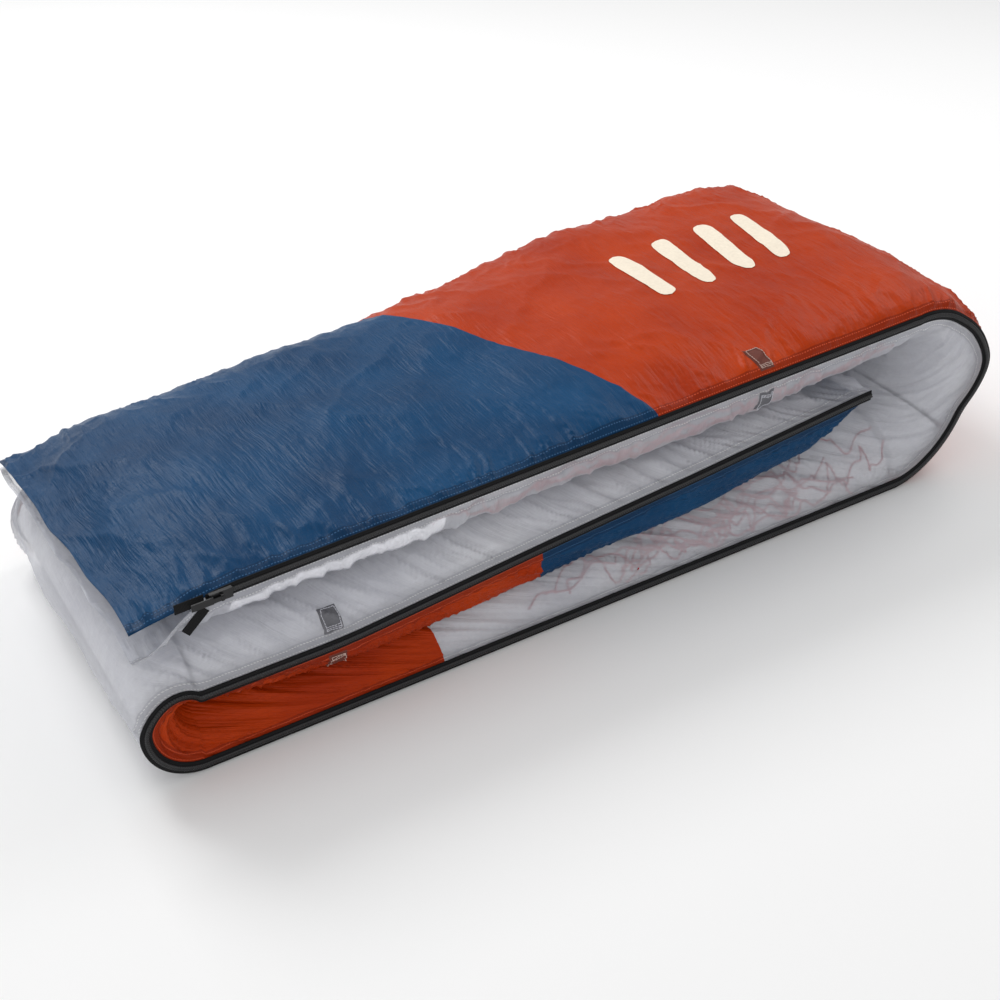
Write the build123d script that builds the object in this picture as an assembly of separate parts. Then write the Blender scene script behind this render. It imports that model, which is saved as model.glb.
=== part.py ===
from build123d import *
import math
import os

# A foil kite packed in its long zip sack, which is folded in three like a letter.
# Top layer, right fold, bottom layer, left fold, middle layer: one sack, one long front zip.
# Millimetres. X runs along the folded sack, -Y is the zip side, +Z is up, Z = 0 is the floor.

# Driving dimensions
half_length = 535
front_y = -204
back_y = 212
total_height = 250
cloth = 1.0
fill_gap = 4.5
zip_side_gap = 16
edge_gap = 3.0
droop_depth = 40

right_x = 410
right_z = total_height / 2
right_outer = total_height / 2
right_inner = 38
left_outer = 64
left_x = left_outer - half_length
left_inner = 1.5

first_hinge = 45
second_hinge = 135
hinge_stand_off = 0.6
body_gap = 0.35

tape_half = 6.0
tape_thick = 1.5
coil_half = 2.6
coil_thick = 2.0

seam_tape_half = 5.0
seam_tape_thick = 1.2

end_b_x = 290
end_b_tip = 345
cuff_x = -455
straight_zip_x = 172
slider_length = 22
running_gap = 0.4

strap_width = 20
top_strap_x = 186
middle_strap_x = -326
patch_depth = 30
line_radius = 0.8
batten_radius = 1.5

os.makedirs("parts", exist_ok=True)


def between(x, table):
    """A value at x from a short list of (x, value) pairs, straight between them."""
    points = sorted(table)
    if x <= points[0][0]:
        return points[0][1]
    for (xa, va), (xb, vb) in zip(points, points[1:]):
        if x <= xb:
            return va + (vb - va) * (x - xa) / (xb - xa)
    return points[-1][1]


# Heights along the sack, as (x, z) pairs
bottom_top = [(left_x, 63.0), (right_x, right_z - right_inner)]
middle_top = [(left_x, 128.0), (-104, 139.6), (end_b_x, 154.0), (end_b_tip, 149.0)]
middle_under = [(left_x, 65.5), (end_b_x, 92.0), (end_b_tip, 134.0)]
# How far the middle layer's lower cloth hangs at the zip side, and how square its shoulder is there
middle_droop = [(left_x, 0.0), (-320, 33.0), (-91, 36.0), (99, 36.0), (end_b_x, 22.0), (end_b_tip, 0.0)]
middle_shoulder = [(left_x, 4.0), (-320, 16.0), (99, 16.0), (end_b_x, 10.0), (end_b_tip, 4.0)]
middle_edge = [(left_x, 84.0), (-320, 84.0), (-91, 105.0), (99, 120.0), (end_b_tip, 141.0)]
top_under = [(-half_length, 140.0), (cuff_x, 131.0), (-104, 142.0), (right_x, 163.0)]
top_shoulder = [(-half_length, 4.0), (cuff_x, 8.0), (-300, 14.0), (172, 14.0), (right_x, 4.0)]
top_crown = [(-half_length, 160.0), (cuff_x, 198.0), (-104, 218.0), (172, 244.0), (right_x, 250.0)]
top_front = [(-half_length, 163.0), (cuff_x, 187.0), (straight_zip_x, 208.5), (right_x, 216.0)]
top_back = [(-half_length, 128.0), (cuff_x, 120.0), (-104, 142.0), (172, 190.0), (right_x, 205.0)]
# How much higher the faces lie at the front than at mid-depth, and lower at the back
pile_tilt = [(-half_length, 16.0), (cuff_x, 15.0), (-104, 11.0), (172, 4.0), (end_b_x, 1.0), (right_x, 0.0)]
crown_tilt = [(-half_length, 16.0), (cuff_x, 8.0), (-104, 3.0), (right_x, 0.0)]
# How full the upper cloth is across the sack: 2 is a half ellipse, 4 is nearly flat on top
full_shape = 4.0
top_shape = [(-half_length, 2.0), (cuff_x, 2.0), (-104, 2.6), (172, 3.5), (right_x, full_shape)]
# Distance of the front edge from the fold's centre, as (angle, radius) pairs
right_edge = [(0, 118.0), (45, 103.0), (90, 113.0), (135, 100.0), (180, 91.0)]
left_edge = [(0, 57.0), (45, 56.0), (90, 55.0), (135, 39.0), (180, 20.0)]


class Station:
    """One cross-section of a layer: low and high are the two cloth faces at mid-depth."""

    def __init__(self, centre, normal, low, high, front, back, shape=full_shape, tilts=(0, 0), droop=0,
                 low_shape=full_shape):
        self.centre = centre
        self.normal = normal
        self.low = low
        self.high = high
        self.front = front
        self.back = back
        self.shape = shape
        self.tilts = tilts
        self.droop = droop
        self.low_shape = low_shape

    def plane(self):
        nx, nz = self.normal
        cx, cz = self.centre
        return Plane(origin=(cx, 0, cz), x_dir=(0, 1, 0), z_dir=(nz, 0, -nx))

    def edge(self, y):
        share = min(max((y - front_y) / (back_y - front_y), 0), 1)
        return self.front + (self.back - self.front) * share

    def face(self, side, y):
        """Height of the low (-1) or high (1) face at one depth."""
        middle = (front_y + back_y) / 2
        reach = (back_y - front_y) / 2
        height, tilt = (self.high, self.tilts[1]) if side > 0 else (self.low, self.tilts[0])
        if side < 0:
            height -= self.droop * math.exp(-max(0, y - front_y) / droop_depth)
        return height - tilt * (y - middle) / reach


def bottom_station(x):
    return Station((x, 0), (0, 1), 0.0, between(x, bottom_top), edge_gap, edge_gap)


def middle_station(x):
    edge = between(x, middle_edge)
    low, high = between(x, middle_under), between(x, middle_top)
    return Station(
        (x, 0), (0, 1), low, high, edge, edge, tilts=(0, between(x, pile_tilt)),
        droop=between(x, middle_droop), low_shape=between(x, middle_shoulder))


def top_station(x):
    return Station(
        (x, 0), (0, 1), between(x, top_under), between(x, top_crown),
        between(x, top_front), between(x, top_back), between(x, top_shape),
        (between(x, pile_tilt), between(x, crown_tilt)), low_shape=between(x, top_shoulder))


def right_station(angle):
    """Angle 0 is straight down, 90 is the far right, 180 is straight up."""
    a = math.radians(angle)
    front = between(angle, right_edge)
    back = front - 11 * math.sin(a / 2) ** 2
    return Station((right_x, right_z), (math.sin(a), -math.cos(a)), right_inner, right_outer, front, back)


def left_station(angle):
    """Angle 0 is straight down, 90 is the far left, 180 is straight up."""
    a = math.radians(angle)
    edge = between(angle, left_edge)
    tilt = max(0, -math.cos(a)) * between(left_x, pile_tilt)
    return Station(
        (left_x, left_outer), (-math.sin(a), -math.cos(a)), left_inner, left_outer, edge, edge,
        tilts=(0, tilt))


def curve_points(station, side, inset, front_inset=None):
    """Points across one cloth face, from the front edge to the back edge, pulled in by inset."""
    shape = station.shape if side > 0 else station.low_shape
    # a square shoulder swells past its ends, so it starts a little further in
    tuck = 0.05 * max(0, shape - full_shape)
    y_start = front_y + (inset if front_inset is None else front_inset) + tuck
    y_end = back_y - inset - tuck
    points = []
    for share in (-1, -0.985, -0.93, -0.8, -0.5, 0, 0.5, 0.8, 0.93, 0.985, 1):
        y = (y_start + y_end + share * (y_end - y_start)) / 2
        fullness = (1 - abs(share) ** shape) ** 0.5
        edge = station.edge(y)
        face = station.face(side, y) - side * inset
        start = edge + side * max(edge_gap - inset, 0.4)
        points.append((y, start + (face - start) * fullness))
    return points


def solid_section(station, inset, front_inset=None):
    """The closed outline of everything between the two cloth faces."""
    upper = curve_points(station, 1, inset, front_inset)
    lower = curve_points(station, -1, inset, front_inset)
    outline = [
        Spline(*upper),
        Line(upper[-1], lower[-1]),
        Spline(*reversed(lower)),
        Line(lower[0], upper[0]),
    ]
    return station.plane() * make_face(outline)


def skin_section(station, side, near=0, far=cloth):
    """A thin band that follows one cloth face, from near to far below its outside."""
    outer = curve_points(station, side, near)
    inner = curve_points(station, side, far)
    outline = [
        Spline(*outer),
        Line(outer[-1], inner[-1]),
        Spline(*reversed(inner)),
        Line(inner[0], outer[0]),
    ]
    return station.plane() * make_face(outline)


def strip_section(station, y_near, y_far, low, high):
    """A small rectangle on the front or back edge, low and high measured from the edge line."""
    y_mid = (y_near + y_far) / 2
    edge = station.edge(y_mid)
    corners = [(y_near, edge + low), (y_far, edge + low), (y_far, edge + high), (y_near, edge + high)]
    return station.plane() * make_face(Polyline(*corners, corners[0]))


def stretch(stations, section, *values):
    """A solid through one section at each station."""
    return loft([section(station, *values) for station in stations])


def slab(low, high):
    size = [b - a for a, b in zip(low, high)]
    middle = [(a + b) / 2 for a, b in zip(low, high)]
    return Pos(*middle) * Box(*size)


def save(name, shape, colour):
    """One node: its solids, with a colour, in a file of its own."""
    solids = shape.solids()
    node = solids[0] if len(solids) == 1 else Compound(children=list(solids))
    node.color = Color(*colour)
    node.label = name
    export_step(node, f"parts/{name}.step")


blue = (0.02, 0.20, 0.38)
orange = (0.75, 0.15, 0.02)
white = (0.85, 0.85, 0.88)
black = (0.02, 0.02, 0.02)
pink = (0.75, 0.25, 0.35)
grey = (0.45, 0.45, 0.48)

# Stretches of the sack, station by station
bottom_run = [bottom_station(x) for x in (left_x, -240, 0, 200, right_x)]
left_run = [left_station(angle) for angle in (0, 45, 90, 135, 180)]
middle_run = [middle_station(x) for x in (left_x, -320, -91, 99, end_b_x)]
end_b_run = [middle_station(x) for x in (end_b_x, 320, end_b_tip)]
top_run = [top_station(x) for x in (right_x, 172, -104, -300, cuff_x)]
cuff_run = [top_station(x) for x in (cuff_x, -500, -half_length)]

gap_angle = math.degrees(body_gap / right_outer)
base_fold_run = [right_station(angle) for angle in (0, 22.5, first_hinge - gap_angle)]
turn_run = [right_station(angle) for angle in (first_hinge, 67.5, 90, 112.5, second_hinge)]
flap_fold_run = [right_station(angle) for angle in (second_hinge + gap_angle, 157.5, 180)]


def seam_cutter(front_x, back_x, reach):
    """Everything to the left of a slanted seam, as a tall block."""
    corners = [(-reach, front_y - 20), (front_x, front_y - 20), (back_x, back_y + 20), (-reach, back_y + 20)]
    return extrude(make_face(Polyline(*corners, corners[0])), amount=total_height + 40)


# Where colours change: x at the front edge and at the back edge
top_seam = seam_cutter(45, -88, 1000)
middle_seam = seam_cutter(-95, 60, 1000)
bottom_seam = seam_cutter(-212, -330, 1000)


def left_of(shape, cutter):
    return shape & cutter


def right_of(shape, cutter):
    return shape - cutter


def make_panels():
    """The sack's cloth panels, each cut at its seams and at the two fold lines."""
    under = Plane.XY * slab((left_x, front_y, 0), (right_x, back_y, cloth))
    save("panel_white_b_underside", left_of(under, bottom_seam), white)
    save("panel_orange_a_underside", right_of(under, bottom_seam), orange)
    floor_side = stretch(bottom_run, skin_section, 1)
    save("panel_orange_b_inner", left_of(floor_side, bottom_seam), orange)
    save("panel_white_a_inner", right_of(floor_side, bottom_seam), white)
    save("panel_orange_a_fold_start", stretch(base_fold_run, skin_section, 1), orange)
    save("panel_white_a_fold_start", stretch(base_fold_run, skin_section, -1), white)
    save("panel_orange_a_fold", stretch(turn_run, skin_section, 1), orange)
    save("panel_white_a_fold", stretch(turn_run, skin_section, -1), white)
    save("panel_orange_a_fold_end", stretch(flap_fold_run, skin_section, 1), orange)
    save("panel_white_a_fold_end", stretch(flap_fold_run, skin_section, -1), white)
    top_side = stretch(top_run, skin_section, 1)
    save("panel_blue_a_top", left_of(top_side, top_seam), blue)
    save("panel_orange_a_top", right_of(top_side, top_seam), orange)
    save("panel_white_a_under_top", stretch(top_run, skin_section, -1), white)
    save("mouth_upper_lip", stretch(cuff_run, skin_section, 1), blue)
    save("mouth_lower_lip", stretch(cuff_run, skin_section, -1), white)
    save("panel_white_b_left_fold", stretch(left_run, skin_section, 1), white)
    save("panel_white_b_top", stretch(middle_run, skin_section, 1), white)
    middle_side = stretch(middle_run, skin_section, -1)
    save("panel_orange_b_under", left_of(middle_side, middle_seam), orange)
    save("panel_blue_b_under", right_of(middle_side, middle_seam), blue)
    save("end_b_upper", stretch(end_b_run, skin_section, 1), white)
    save("end_b_lower", stretch(end_b_run, skin_section, -1), blue)


def make_canopy():
    """The packed canopy: the concertina of cells that fills each layer and fold of the sack."""
    packed = (0.55, 0.56, 0.6)
    values = (fill_gap, zip_side_gap)
    save("canopy_bottom_layer", stretch(bottom_run, solid_section, *values), packed)
    save("canopy_left_fold", stretch(left_run, solid_section, *values), packed)
    save("canopy_middle_layer", stretch(middle_run, solid_section, *values), packed)
    save("canopy_fold_start", stretch(base_fold_run, solid_section, *values), packed)
    save("canopy_fold_turn", stretch(turn_run, solid_section, *values), packed)
    save("canopy_fold_end", stretch(flap_fold_run, solid_section, *values), packed)
    battens = make_battens()
    save("canopy_top_layer", stretch(top_run, solid_section, *values) - battens, packed)
    save("leading_edge_battens", battens, white)


def make_battens():
    """Nylon rods that stiffen the canopy's nose, side by side near the open end."""
    length = 260
    rods = []
    for place in range(8):
        y = -130 + place * 30
        rods.append(Pos(-300, y, 158) * Rot(0, 90, 0) * Cylinder(batten_radius, length))
    return Compound(children=rods)


def fuse(solids):
    whole = solids[0]
    for solid in solids[1:]:
        whole = whole + solid
    return whole


def edge_strip(y_near, y_far, half):
    """A flat strip along one edge of the sack: its solids on the base, the fold and the flap."""
    lift = 4.0
    raised = [Station(s.centre, s.normal, s.low, s.high, s.front + lift, s.back + lift) for s in bottom_run]
    values = (y_near, y_far, -half, half)
    base_runs = [raised, left_run, middle_run + end_b_run[1:], base_fold_run]
    flap_runs = [flap_fold_run, top_run]
    if y_far <= front_y:
        flap_runs = [flap_fold_run, top_run[:2], top_run[1:]]
    base = fuse([stretch(run, strip_section, *values) for run in base_runs])
    fold = stretch(turn_run, strip_section, *values)
    flap = fuse([stretch(run, strip_section, *values) for run in flap_runs])
    return {"base": base, "fold": fold, "flap": flap}


def save_strip(name, strip, colour):
    for place, shape in strip.items():
        save(f"{name}_{place}", shape, colour)


def make_zip():
    tape_y = front_y - tape_thick
    save_strip("zip_tape", edge_strip(tape_y, front_y, tape_half), black)
    save_strip("zip_coil", edge_strip(tape_y - coil_thick, tape_y, coil_half), black)
    save_strip("back_seam_tape", edge_strip(back_y, back_y + seam_tape_thick, seam_tape_half), grey)


def on_zip(x):
    """A place on the straight stretch of the zip, turned to run along it."""
    (xa, za), (xb, zb) = top_front[1], top_front[2]
    slope = (zb - za) / (xb - xa)
    return Pos(x, front_y, za + slope * (x - xa)) * Rot(0, -math.degrees(math.atan(slope)), 0)


def make_slider():
    """The slider runs outside the coil; its pull turns on a pin between two lugs."""
    plate = 1.8
    wing = 2.0
    lug = 1.0
    eye_radius = 1.6
    pin_radius = 0.55
    middle_x = cuff_x + slider_length / 2 + 2
    coil_face = -(tape_thick + coil_thick + running_gap)
    plate_face = coil_face - plate
    inner = coil_half + running_gap
    outer = inner + wing
    half = slider_length / 2
    body = slab((-half, plate_face, -outer), (half, coil_face, outer))
    for low, high in ((inner, outer), (-outer, -inner)):
        body += slab((-half, coil_face, low), (half, -(tape_thick + running_gap), high))
    pin_y = plate_face - running_gap - eye_radius
    eye_half = 1.8
    for side in (-1, 1):
        low, high = sorted((side * (eye_half + running_gap), side * (eye_half + running_gap + lug)))
        body += slab((-1.5, pin_y - 1.2, low), (1.5, plate_face, high))
    body += Pos(0, pin_y, 0) * Cylinder(pin_radius, 2 * (eye_half + running_gap))
    save("zip_slider", on_zip(middle_x) * body, black)
    eye = Cylinder(eye_radius, 2 * eye_half)
    tab = slab((-9, -0.6, -eye_half), (0, 0.6, eye_half)) + slab((-30, -0.6, -3.5), (-9, 0.6, 3.5))
    pull = (eye + tab) - Cylinder(pin_radius + running_gap, 10)
    save("slider_pull", on_zip(middle_x) * Pos(0, pin_y, 0) * pull, black)
    axis_point = on_zip(middle_x) * Pos(0, pin_y, 0)
    print("slider pull hinge", axis_point.position)
    print("slider runs along", (on_zip(straight_zip_x).position - on_zip(cuff_x).position).normalized())


def make_tape_tails():
    """The two tape ends that stick out past the slider."""
    tail = slab((-30, -0.8, -5), (-2, 0, 5))
    save("zip_tail_upper", on_zip(cuff_x) * tail, black)
    save("zip_tail_lower", on_zip(cuff_x) * Pos(0, 0, -9) * Rot(0, -40, 0) * tail, black)


def band_piece(x_middle, run, side, near, far, width, depth):
    """A short piece of a band on one face, next to the zip."""
    band = stretch(run, skin_section, side, near, far)
    half = width / 2
    return band & slab(
        (x_middle - half, front_y + 1, 0), (x_middle + half, front_y + depth, total_height + 5))


def strap_loop(x_middle, run):
    """A webbing band that goes right round the packed canopy, inside the sack."""
    half = strap_width / 2
    keep = slab((x_middle - half, front_y, 0), (x_middle + half, back_y, total_height))
    return (stretch(run, solid_section, 1.6) & keep) - stretch(run, solid_section, 3.0)


def strap_buckle(x_middle, station):
    """A three-bar slider that the webbing is threaded through, in the hollow behind the zip."""
    upper = curve_points(station, 1, cloth)[1][1]
    lower = curve_points(station, -1, cloth)[1][1]
    frame = slab((-14, 0, -7), (14, 2, 7))
    for low, high in ((-5, -1.2), (1.2, 5)):
        frame -= slab((-11, -1, low), (11, 3, high))
    return Pos(x_middle, front_y + 3.2, (upper + lower) / 2) * frame


def make_straps():
    patch = 0.8
    places = {
        "top": (top_strap_x, top_run, top_station, 1),
        "middle": (middle_strap_x, middle_run, middle_station, -1),
    }
    for place, (x, run, station_at, coloured) in places.items():
        for face, side in (("coloured", coloured), ("white", -coloured)):
            piece = band_piece(x, run, side, -patch, -0.05, strap_width + 2, patch_depth)
            save(f"strap_anchor_{place}_{face}", piece, grey)
        save(f"strap_webbing_{place}", strap_loop(x, run), black)
        save(f"strap_buckle_{place}", strap_buckle(x, station_at(x)), black)


def line_tube(y, x_start, x_end, height_at, sway, phase):
    """One bridle line: gentle turns in the hollow behind the zip."""
    step = 52
    count = int((x_end - x_start) / step)
    points = []
    for i in range(count + 1):
        x = x_start + (x_end - x_start) * i / count
        swing = sway * math.sin(1.9 * i + phase) + 0.3 * sway * math.sin(4.1 * i)
        points.append(Vector(x, y, height_at(x) + swing))
    radii = []
    for a, b, c in zip(points, points[1:], points[2:]):
        turn = math.radians((b - a).get_angle(c - b))
        shorter = min((b - a).length, (c - b).length)
        radii.append(0.45 * shorter / math.tan(turn / 2))
    path = FilletPolyline(*points, radius=radii)
    start = Plane(origin=path @ 0, z_dir=path % 0)
    return sweep(start * Circle(line_radius), path=path)


def make_lines():
    """The bridle lines that lie along the zip side of the packed canopy."""
    rows = [(-197.0, 0.4), (-194.6, 1.9), (-192.2, 3.1), (-189.8, 5.0)]
    top = []
    bottom = []
    for y, phase in rows:
        top.append(line_tube(y, -205, 400, lambda x: between(x, top_front) - 7, 7, phase))
        bottom.append(line_tube(y, -200, 395, lambda x: 14, 6, phase + 1))
    save("bridle_lines_top", Compound(children=top), pink)
    save("bridle_lines_bottom", Compound(children=bottom), pink)


def make_trim():
    """The white strip inside the sack beside the zip, and the hems of the open mouth."""
    strip = band_piece(-322, top_run, -1, 1.3, 2.1, 215, 38)
    save("zip_backing_strip", strip, white)
    hem = slab((-half_length, front_y - 5, 0), (-half_length + 7, back_y + 5, total_height))
    for name, side in (("upper", 1), ("lower", -1)):
        band = stretch(cuff_run, skin_section, side, -0.6, -0.05)
        save(f"mouth_hem_{name}", band & hem, grey)


make_panels()
make_canopy()
make_zip()
make_slider()
make_tape_tails()
make_straps()
make_lines()
make_trim()

hinge_radius = right_outer + hinge_stand_off
for name, angle in (("first", first_hinge), ("second", second_hinge)):
    a = math.radians(angle)
    print(name, "hinge", right_x + hinge_radius * math.sin(a), right_z - hinge_radius * math.cos(a))
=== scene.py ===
import math
import bpy
import numpy as np
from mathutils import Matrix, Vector


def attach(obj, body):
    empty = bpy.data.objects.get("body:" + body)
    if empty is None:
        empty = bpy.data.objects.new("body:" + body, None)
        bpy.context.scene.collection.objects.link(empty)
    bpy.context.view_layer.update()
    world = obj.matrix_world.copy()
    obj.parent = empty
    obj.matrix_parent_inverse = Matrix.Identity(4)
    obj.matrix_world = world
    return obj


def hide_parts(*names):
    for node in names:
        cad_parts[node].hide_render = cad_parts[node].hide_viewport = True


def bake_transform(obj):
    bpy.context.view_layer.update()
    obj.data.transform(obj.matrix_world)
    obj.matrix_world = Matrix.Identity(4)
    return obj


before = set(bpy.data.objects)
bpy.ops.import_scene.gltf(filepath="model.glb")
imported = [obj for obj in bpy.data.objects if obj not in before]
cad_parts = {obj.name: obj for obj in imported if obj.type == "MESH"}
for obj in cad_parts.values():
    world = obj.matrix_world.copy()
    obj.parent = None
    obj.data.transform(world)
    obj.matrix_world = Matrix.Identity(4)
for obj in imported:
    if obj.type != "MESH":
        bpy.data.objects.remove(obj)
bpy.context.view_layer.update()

# The folded sack in millimetres: X along it, -Y the zip side, Z up.
# A stretch is top, right fold, bottom, left fold or middle. Its places are x, or an angle from straight down.
sack = {
    "front": -204.0, "back": 212.0, "edgeGap": 3.0, "reach": 208.0, "midY": 4.0,
    "rightX": 410.0, "rightZ": 125.0, "rightOuter": 125.0, "rightInner": 38.0,
    "leftX": -471.0, "leftZ": 64.0, "leftOuter": 64.0, "leftInner": 1.5,
    "skewFrom": -385.0, "skew": 36.0, "skewRamp": 150.0, "droopDepth": 40.0, "sliderX": -462.0,
    "mouthX": -535.0, "endX": 345.0,
}
tables = {
    "bottomTop": ([-471, 410], [63, 87]),
    "middleTop": ([-471, -104, 290, 345], [128, 139.6, 154, 144]),
    "middleUnder": ([-471, 290, 345], [65.5, 92, 140]),
    "middleDroop": ([-471, -320, -91, 99, 290, 345], [0, 33, 36, 36, 22, 0]),
    "middleShoulder": ([-471, -320, 99, 290, 345], [4, 16, 16, 10, 4]),
    "middleEdge": ([-471, -320, -91, 99, 345], [84, 84, 105, 120, 143]),
    "topUnder": ([-535, -455, -104, 410], [140, 131, 142, 163]),
    "topShoulder": ([-535, -455, -300, 172, 410], [4, 8, 14, 14, 4]),
    "topCrown": ([-535, -455, -104, 172, 410], [160, 198, 218, 244, 250]),
    "topFront": ([-535, -455, 172, 410], [163, 187, 208.5, 216]),
    "topBack": ([-535, -455, -104, 172, 410], [128, 120, 142, 190, 205]),
    "topShape": ([-535, -455, -104, 172, 410], [2, 2, 2.6, 3.5, 4]),
    "pileTilt": ([-535, -455, -104, 172, 290, 410], [16, 15, 11, 4, 1, 0]),
    "crownTilt": ([-535, -455, -104, 410], [16, 8, 3, 0]),
    "rightEdge": ([0, 22, 45, 62, 78, 92, 112, 135, 180], [118, 110, 103, 99, 112, 121, 110, 99, 91]),
    "leftEdge": ([0, 45, 90, 135, 180], [57, 56, 55, 39, 20]),
}


def look(name, x):
    # a table's value, straight between its points and averaged over a short span
    xs, vs = tables[name]
    span = 0.02 * (xs[-1] - xs[0])
    shifts = (-1.5, -0.75, 0, 0.75, 1.5)
    return sum(np.interp(np.clip(x + s * span, xs[0], xs[-1]), xs, vs) for s in shifts) / len(shifts)


def ribs(kind, t):
    # cross-sections at each t: centre, outward normal, and heights of the two cloths along that normal
    t = np.asarray(t, float)
    one, a = np.ones_like(t), np.radians(t)
    r = dict(cx=t, cz=0 * one, nx=0 * one, nz=one, shape=4 * one, lowTilt=0 * one, highTilt=0 * one,
             droop=0 * one, lowShape=4 * one)
    if kind == "top":
        r.update(low=look("topUnder", t), high=look("topCrown", t), front=look("topFront", t),
                 back=look("topBack", t), shape=look("topShape", t),
                 lowTilt=look("pileTilt", t), highTilt=look("crownTilt", t), lowShape=look("topShoulder", t))
    elif kind == "middle":
        edge = look("middleEdge", t)
        r.update(low=look("middleUnder", t), high=look("middleTop", t), front=edge, back=edge,
                 highTilt=look("pileTilt", t), droop=look("middleDroop", t),
                 lowShape=look("middleShoulder", t))
    elif kind == "bottom":
        r.update(low=-look("bottomTop", t), high=0 * one, front=-3 * one, back=-3 * one, nz=-one)
    elif kind == "right":
        edge = look("rightEdge", t)
        r.update(cx=sack["rightX"] * one, cz=sack["rightZ"] * one, nx=np.sin(a), nz=-np.cos(a),
                 low=sack["rightInner"] * one, high=sack["rightOuter"] * one,
                 front=edge, back=edge - 11 * np.sin(a / 2) ** 2)
    else:
        edge = look("leftEdge", t)
        r.update(cx=sack["leftX"] * one, cz=sack["leftZ"] * one, nx=-np.sin(a), nz=-np.cos(a),
                 low=sack["leftInner"] * one, high=sack["leftOuter"] * one, front=edge, back=edge,
                 highTilt=np.maximum(0, -np.cos(a)) * 15)
    return r


def skewed(p):
    # towards the left end the sack lies askew: x moves right with depth by up to `skew`, as a smooth ramp
    t = np.clip((p[..., 1] - sack["front"]) / (2 * sack["reach"]), 0, 1)
    w = np.clip((sack["skewFrom"] - p[..., 0]) / sack["skewRamp"], 0, 1)
    p[..., 0] += sack["skew"] * t * w * w * (3 - 2 * w)
    return p


def cloth(r, side, v, inset=0.0):
    # points of one cloth: at each rib the edge line plus the face's rise above it,
    # times a fullness that is (1 - |v| to a power) to the power a half
    v = np.broadcast_to(v, (len(r["cx"]), np.shape(v)[-1]))
    y = sack["midY"] + v * (sack["reach"] - inset)
    c = {k: a[:, None] for k, a in r.items()}
    share = np.clip((y - sack["front"]) / (2 * sack["reach"]), 0, 1)
    edge = c["front"] + (c["back"] - c["front"]) * share
    power = c["shape"] if side > 0 else c["lowShape"]
    face = (c["high"] if side > 0 else c["low"]) - side * inset
    face = face - (c["highTilt"] if side > 0 else c["lowTilt"]) * (y - sack["midY"]) / sack["reach"]
    if side < 0:
        face = face - c["droop"] * np.exp(-np.maximum(0, y - sack["front"]) / sack["droopDepth"])
    start = edge + side * max(sack["edgeGap"] - inset, 0.4)
    h = start + (face - start) * np.sqrt(np.clip(1 - np.abs(v) ** power, 0, 1))
    return skewed(np.stack([c["cx"] + c["nx"] * h, y, c["cz"] + c["nz"] * h], axis=2))


def across(n):
    # places from the zip edge to the back edge, closer together near both
    return np.sin(np.linspace(-math.pi / 2, math.pi / 2, n))


def lattice(x, y, seed):
    # smooth noise from -1 to 1: random values on a square lattice, blended by smoothstep
    table = np.random.default_rng(seed).uniform(-1, 1, (128, 128))
    i, j = np.floor(x).astype(int), np.floor(y).astype(int)
    u, w = x - i, y - j
    u, w = u * u * (3 - 2 * u), w * w * (3 - 2 * w)
    at = lambda di, dj: table[(i + di) % 128, (j + dj) % 128]
    return (at(0, 0) * (1 - u) + at(1, 0) * u) * (1 - w) + (at(0, 1) * (1 - u) + at(1, 1) * u) * w


def crease(x, y, seed):
    # sharp crests with soft valleys between, from 0 to 1
    return (1 - np.abs(lattice(x, y, seed))) ** 3


def normals(p):
    du, dv = np.gradient(p, axis=0), np.gradient(p, axis=1)
    n = np.cross(du, dv)
    return n / np.maximum(np.linalg.norm(n, axis=2, keepdims=True), 1e-9)


def distances(p):
    # how far each point is along the sack from the first row, and across it from the zip edge
    s = np.linalg.norm(np.diff(p, axis=0), axis=2)
    d = np.linalg.norm(np.diff(p, axis=1), axis=2)
    return (np.vstack([np.zeros(p.shape[1]), np.cumsum(s, axis=0)]),
            np.hstack([np.zeros((p.shape[0], 1)), np.cumsum(d, axis=1)]))


# Heights of the wrinkles in millimetres, and how far in from the zip the gathers reach
wrinkles = {"gatherNear": 3.4, "nearReach": 34, "gatherFar": 2.0, "farReach": 130, "tension": 2.4,
            "small": 0.9, "tiny": 0.3, "calm": 9}


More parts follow.
